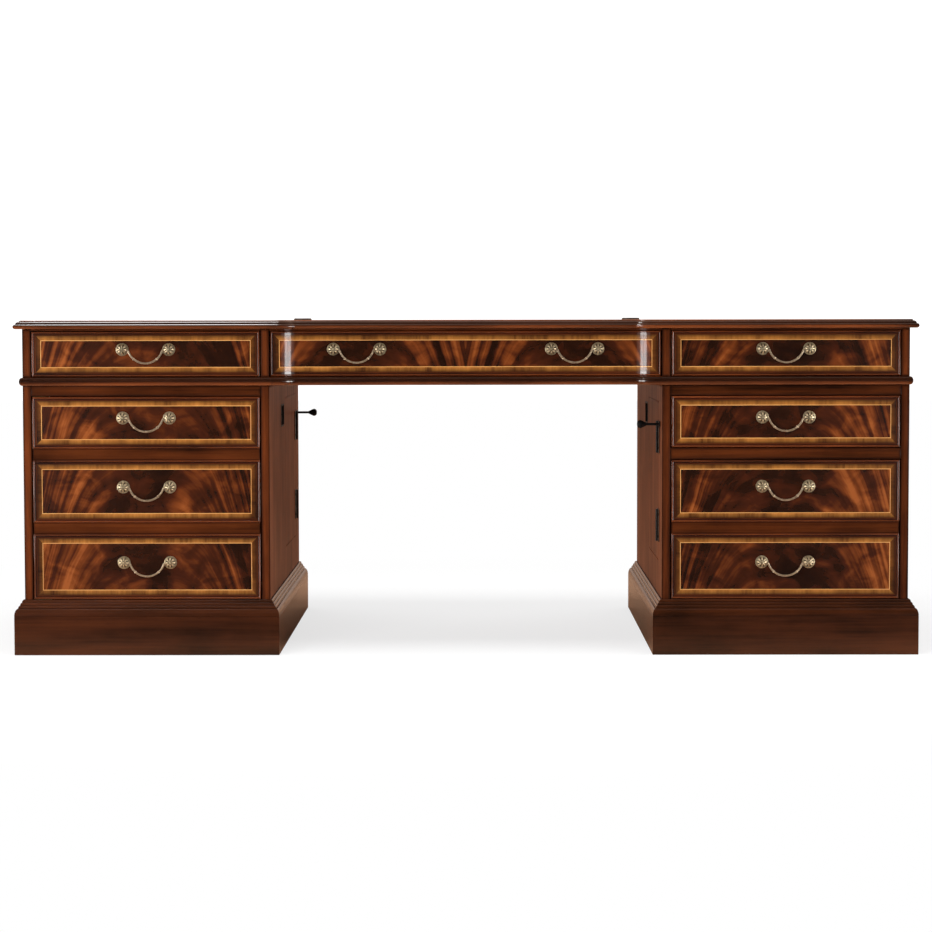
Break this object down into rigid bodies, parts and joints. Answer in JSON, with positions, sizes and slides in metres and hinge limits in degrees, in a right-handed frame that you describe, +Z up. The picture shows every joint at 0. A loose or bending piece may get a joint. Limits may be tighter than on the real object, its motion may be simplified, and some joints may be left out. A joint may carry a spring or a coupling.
{
  "type": "pedestal desk",
  "caption": "Double-sided pedestal desk with frieze drawers, sham-drawer cupboards, file drawers, side doors over a cable chase and a leather top with a serpentine set-back.",
  "frame": {"origin": "on the floor under the middle of the desk", "axes": "+X along the desk to the right of a person facing its front, +Y from front to back, +Z up"},
  "size_m": [2.134, 1.067, 0.7945],
  "materials": {
    "mahogany": "French-polished mahogany",
    "flame_mahogany": "flame mahogany veneer, crossbanded and strung, polished",
    "leather": "tooled brown hide",
    "old_brass": "antique lacquered brass",
    "black_iron": "satin black",
    "black_rubber": "matte",
    "bronze_plastic": "satin dark bronze"
  },
  "bodies": {
    "desk": {"right_pedestal_case": "mahogany", "left_pedestal_case": "mahogany", "plinths": "mahogany", "frieze_case": "mahogany", "waist_moulding": "mahogany", "top_board": "mahogany", "top_edge_moulding": "mahogany", "writing_leathers": "leather", "cable_caps": "bronze_plastic", "side_hinge_leaves": "black_iron", "door_stops": "black_rubber", "cupboard_pivots": "old_brass"},
    "front_left_frieze_drawer": {"front_left_frieze_drawer": "flame_mahogany", "front_left_frieze_drawer_rosettes": "old_brass"},
    "front_left_frieze_drawer_bail": {"front_left_frieze_drawer_bail": "old_brass"},
    "front_centre_frieze_drawer": {"front_centre_frieze_drawer": "flame_mahogany", "front_centre_frieze_drawer_rosettes": "old_brass"},
    "front_centre_frieze_drawer_left_bail": {"front_centre_frieze_drawer_left_bail": "old_brass"},
    "front_centre_frieze_drawer_right_bail": {"front_centre_frieze_drawer_right_bail": "old_brass"},
    "front_right_frieze_drawer": {"front_right_frieze_drawer": "flame_mahogany", "front_right_frieze_drawer_rosettes": "old_brass"},
    "front_right_frieze_drawer_bail": {"front_right_frieze_drawer_bail": "old_brass"},
    "front_top_drawer": {"front_top_drawer": "flame_mahogany", "front_top_drawer_rosettes": "old_brass"},
    "front_top_drawer_bail": {"front_top_drawer_bail": "old_brass"},
    "front_file_drawer": {"front_file_drawer": "flame_mahogany", "front_file_drawer_rosettes": "old_brass"},
    "front_file_drawer_upper_bail": {"front_file_drawer_upper_bail": "old_brass"},
    "front_file_drawer_lower_bail": {"front_file_drawer_lower_bail": "old_brass"},
    "front_cupboard_door": {"front_cupboard_door": "flame_mahogany", "front_cupboard_door_rosettes": "old_brass"},
    "front_cupboard_door_upper_bail": {"front_cupboard_door_upper_bail": "old_brass"},
    "front_cupboard_door_middle_bail": {"front_cupboard_door_middle_bail": "old_brass"},
    "front_cupboard_door_lower_bail": {"front_cupboard_door_lower_bail": "old_brass"},
    "front_side_door": {"front_side_door": "mahogany", "front_side_door_leaves": "black_iron"},
    "back_left_frieze_drawer": {"back_left_frieze_drawer": "flame_mahogany", "back_left_frieze_drawer_rosettes": "old_brass"},
    "back_left_frieze_drawer_bail": {"back_left_frieze_drawer_bail": "old_brass"},
    "back_centre_frieze_drawer": {"back_centre_frieze_drawer": "flame_mahogany", "back_centre_frieze_drawer_rosettes": "old_brass"},
    "back_centre_frieze_drawer_left_bail": {"back_centre_frieze_drawer_left_bail": "old_brass"},
    "back_centre_frieze_drawer_right_bail": {"back_centre_frieze_drawer_right_bail": "old_brass"},
    "back_right_frieze_drawer": {"back_right_frieze_drawer": "flame_mahogany", "back_right_frieze_drawer_rosettes": "old_brass"},
    "back_right_frieze_drawer_bail": {"back_right_frieze_drawer_bail": "old_brass"},
    "back_top_drawer": {"back_top_drawer": "flame_mahogany", "back_top_drawer_rosettes": "old_brass"},
    "back_top_drawer_bail": {"back_top_drawer_bail": "old_brass"},
    "back_file_drawer": {"back_file_drawer": "flame_mahogany", "back_file_drawer_rosettes": "old_brass"},
    "back_file_drawer_upper_bail": {"back_file_drawer_upper_bail": "old_brass"},
    "back_file_drawer_lower_bail": {"back_file_drawer_lower_bail": "old_brass"},
    "back_cupboard_door": {"back_cupboard_door": "flame_mahogany", "back_cupboard_door_rosettes": "old_brass"},
    "back_cupboard_door_upper_bail": {"back_cupboard_door_upper_bail": "old_brass"},
    "back_cupboard_door_middle_bail": {"back_cupboard_door_middle_bail": "old_brass"},
    "back_cupboard_door_lower_bail": {"back_cupboard_door_lower_bail": "old_brass"},
    "back_side_door": {"back_side_door": "mahogany", "back_side_door_leaves": "black_iron"}
  },
  "joints": [
    {"name": "front_left_frieze_drawer_slide", "type": "slide", "parent": "desk", "child": "front_left_frieze_drawer", "axis": [0, -1, 0], "range_m": [0, 0.34]},
    {"name": "front_left_frieze_drawer_bail_lift", "type": "hinge", "parent": "front_left_frieze_drawer", "child": "front_left_frieze_drawer_bail", "pos_m": [-0.75375, -0.518, 0.71925], "axis": [-1, 0, 0], "range_deg": [0, 90]},
    {"name": "front_centre_frieze_drawer_slide", "type": "slide", "parent": "desk", "child": "front_centre_frieze_drawer", "axis": [0, -1, 0], "range_m": [0, 0.32]},
    {"name": "front_centre_frieze_drawer_left_bail_lift", "type": "hinge", "parent": "front_centre_frieze_drawer", "child": "front_centre_frieze_drawer_left_bail", "pos_m": [-0.25757, -0.492, 0.71925], "axis": [-1, 0, 0], "range_deg": [0, 90]},
    {"name": "front_centre_frieze_drawer_right_bail_lift", "type": "hinge", "parent": "front_centre_frieze_drawer", "child": "front_centre_frieze_drawer_right_bail", "pos_m": [0.25757, -0.492, 0.71925], "axis": [-1, 0, 0], "range_deg": [0, 90]},
    {"name": "front_right_frieze_drawer_slide", "type": "slide", "parent": "desk", "child": "front_right_frieze_drawer", "axis": [0, -1, 0], "range_m": [0, 0.34]},
    {"name": "front_right_frieze_drawer_bail_lift", "type": "hinge", "parent": "front_right_frieze_drawer", "child": "front_right_frieze_drawer_bail", "pos_m": [0.75375, -0.518, 0.71925], "axis": [-1, 0, 0], "range_deg": [0, 90]},
    {"name": "front_top_drawer_slide", "type": "slide", "parent": "desk", "child": "front_top_drawer", "axis": [0, -1, 0], "range_m": [0, 0.34]},
    {"name": "front_top_drawer_bail_lift", "type": "hinge", "parent": "front_top_drawer", "child": "front_top_drawer_bail", "pos_m": [0.75375, -0.518, 0.558], "axis": [-1, 0, 0], "range_deg": [0, 90]},
    {"name": "front_file_drawer_slide", "type": "slide", "parent": "desk", "child": "front_file_drawer", "axis": [0, -1, 0], "range_m": [0, 0.4]},
    {"name": "front_file_drawer_upper_bail_lift", "type": "hinge", "parent": "front_file_drawer", "child": "front_file_drawer_upper_bail", "pos_m": [0.75375, -0.518, 0.395], "axis": [-1, 0, 0], "range_deg": [0, 90]},
    {"name": "front_file_drawer_lower_bail_lift", "type": "hinge", "parent": "front_file_drawer", "child": "front_file_drawer_lower_bail", "pos_m": [0.75375, -0.518, 0.216], "axis": [-1, 0, 0], "range_deg": [0, 90]},
    {"name": "front_cupboard_door_swing", "type": "hinge", "parent": "desk", "child": "front_cupboard_door", "pos_m": [-1.016, -0.507, 0.3705], "axis": [0, 0, -1], "range_deg": [0, 100]},
    {"name": "front_cupboard_door_upper_bail_lift", "type": "hinge", "parent": "front_cupboard_door", "child": "front_cupboard_door_upper_bail", "pos_m": [-0.75375, -0.518, 0.558], "axis": [-1, 0, 0], "range_deg": [0, 90]},
    {"name": "front_cupboard_door_middle_bail_lift", "type": "hinge", "parent": "front_cupboard_door", "child": "front_cupboard_door_middle_bail", "pos_m": [-0.75375, -0.518, 0.395], "axis": [-1, 0, 0], "range_deg": [0, 90]},
    {"name": "front_cupboard_door_lower_bail_lift", "type": "hinge", "parent": "front_cupboard_door", "child": "front_cupboard_door_lower_bail", "pos_m": [-0.75375, -0.518, 0.216], "axis": [-1, 0, 0], "range_deg": [0, 90]},
    {"name": "front_side_door_swing", "type": "hinge", "parent": "desk", "child": "front_side_door", "pos_m": [0.4593, -0.386, 0.4025], "axis": [0, 0, 1], "range_deg": [0, 115]},
    {"name": "back_left_frieze_drawer_slide", "type": "slide", "parent": "desk", "child": "back_left_frieze_drawer", "axis": [0, 1, 0], "range_m": [0, 0.34]},
    {"name": "back_left_frieze_drawer_bail_lift", "type": "hinge", "parent": "back_left_frieze_drawer", "child": "back_left_frieze_drawer_bail", "pos_m": [0.75375, 0.518, 0.71925], "axis": [1, 0, 0], "range_deg": [0, 90]},
    {"name": "back_centre_frieze_drawer_slide", "type": "slide", "parent": "desk", "child": "back_centre_frieze_drawer", "axis": [0, 1, 0], "range_m": [0, 0.32]},
    {"name": "back_centre_frieze_drawer_left_bail_lift", "type": "hinge", "parent": "back_centre_frieze_drawer", "child": "back_centre_frieze_drawer_left_bail", "pos_m": [0.25757, 0.492, 0.71925], "axis": [1, 0, 0], "range_deg": [0, 90]},
    {"name": "back_centre_frieze_drawer_right_bail_lift", "type": "hinge", "parent": "back_centre_frieze_drawer", "child": "back_centre_frieze_drawer_right_bail", "pos_m": [-0.25757, 0.492, 0.71925], "axis": [1, 0, 0], "range_deg": [0, 90]},
    {"name": "back_right_frieze_drawer_slide", "type": "slide", "parent": "desk", "child": "back_right_frieze_drawer", "axis": [0, 1, 0], "range_m": [0, 0.34]},
    {"name": "back_right_frieze_drawer_bail_lift", "type": "hinge", "parent": "back_right_frieze_drawer", "child": "back_right_frieze_drawer_bail", "pos_m": [-0.75375, 0.518, 0.71925], "axis": [1, 0, 0], "range_deg": [0, 90]},
    {"name": "back_top_drawer_slide", "type": "slide", "parent": "desk", "child": "back_top_drawer", "axis": [0, 1, 0], "range_m": [0, 0.34]},
    {"name": "back_top_drawer_bail_lift", "type": "hinge", "parent": "back_top_drawer", "child": "back_top_drawer_bail", "pos_m": [-0.75375, 0.518, 0.558], "axis": [1, 0, 0], "range_deg": [0, 90]},
    {"name": "back_file_drawer_slide", "type": "slide", "parent": "desk", "child": "back_file_drawer", "axis": [0, 1, 0], "range_m": [0, 0.4]},
    {"name": "back_file_drawer_upper_bail_lift", "type": "hinge", "parent": "back_file_drawer", "child": "back_file_drawer_upper_bail", "pos_m": [-0.75375, 0.518, 0.395], "axis": [1, 0, 0], "range_deg": [0, 90]},
    {"name": "back_file_drawer_lower_bail_lift", "type": "hinge", "parent": "back_file_drawer", "child": "back_file_drawer_lower_bail", "pos_m": [-0.75375, 0.518, 0.216], "axis": [1, 0, 0], "range_deg": [0, 90]},
    {"name": "back_cupboard_door_swing", "type": "hinge", "parent": "desk", "child": "back_cupboard_door", "pos_m": [1.016, 0.507, 0.3705], "axis": [0, 0, -1], "range_deg": [0, 100]},
    {"name": "back_cupboard_door_upper_bail_lift", "type": "hinge", "parent": "back_cupboard_door", "child": "back_cupboard_door_upper_bail", "pos_m": [0.75375, 0.518, 0.558], "axis": [1, 0, 0], "range_deg": [0, 90]},
    {"name": "back_cupboard_door_middle_bail_lift", "type": "hinge", "parent": "back_cupboard_door", "child": "back_cupboard_door_middle_bail", "pos_m": [0.75375, 0.518, 0.395], "axis": [1, 0, 0], "range_deg": [0, 90]},
    {"name": "back_cupboard_door_lower_bail_lift", "type": "hinge", "parent": "back_cupboard_door", "child": "back_cupboard_door_lower_bail", "pos_m": [0.75375, 0.518, 0.216], "axis": [1, 0, 0], "range_deg": [0, 90]},
    {"name": "back_side_door_swing", "type": "hinge", "parent": "desk", "child": "back_side_door", "pos_m": [-0.4593, 0.386, 0.4025], "axis": [0, 0, 1], "range_deg": [0, 115]}
  ]
}
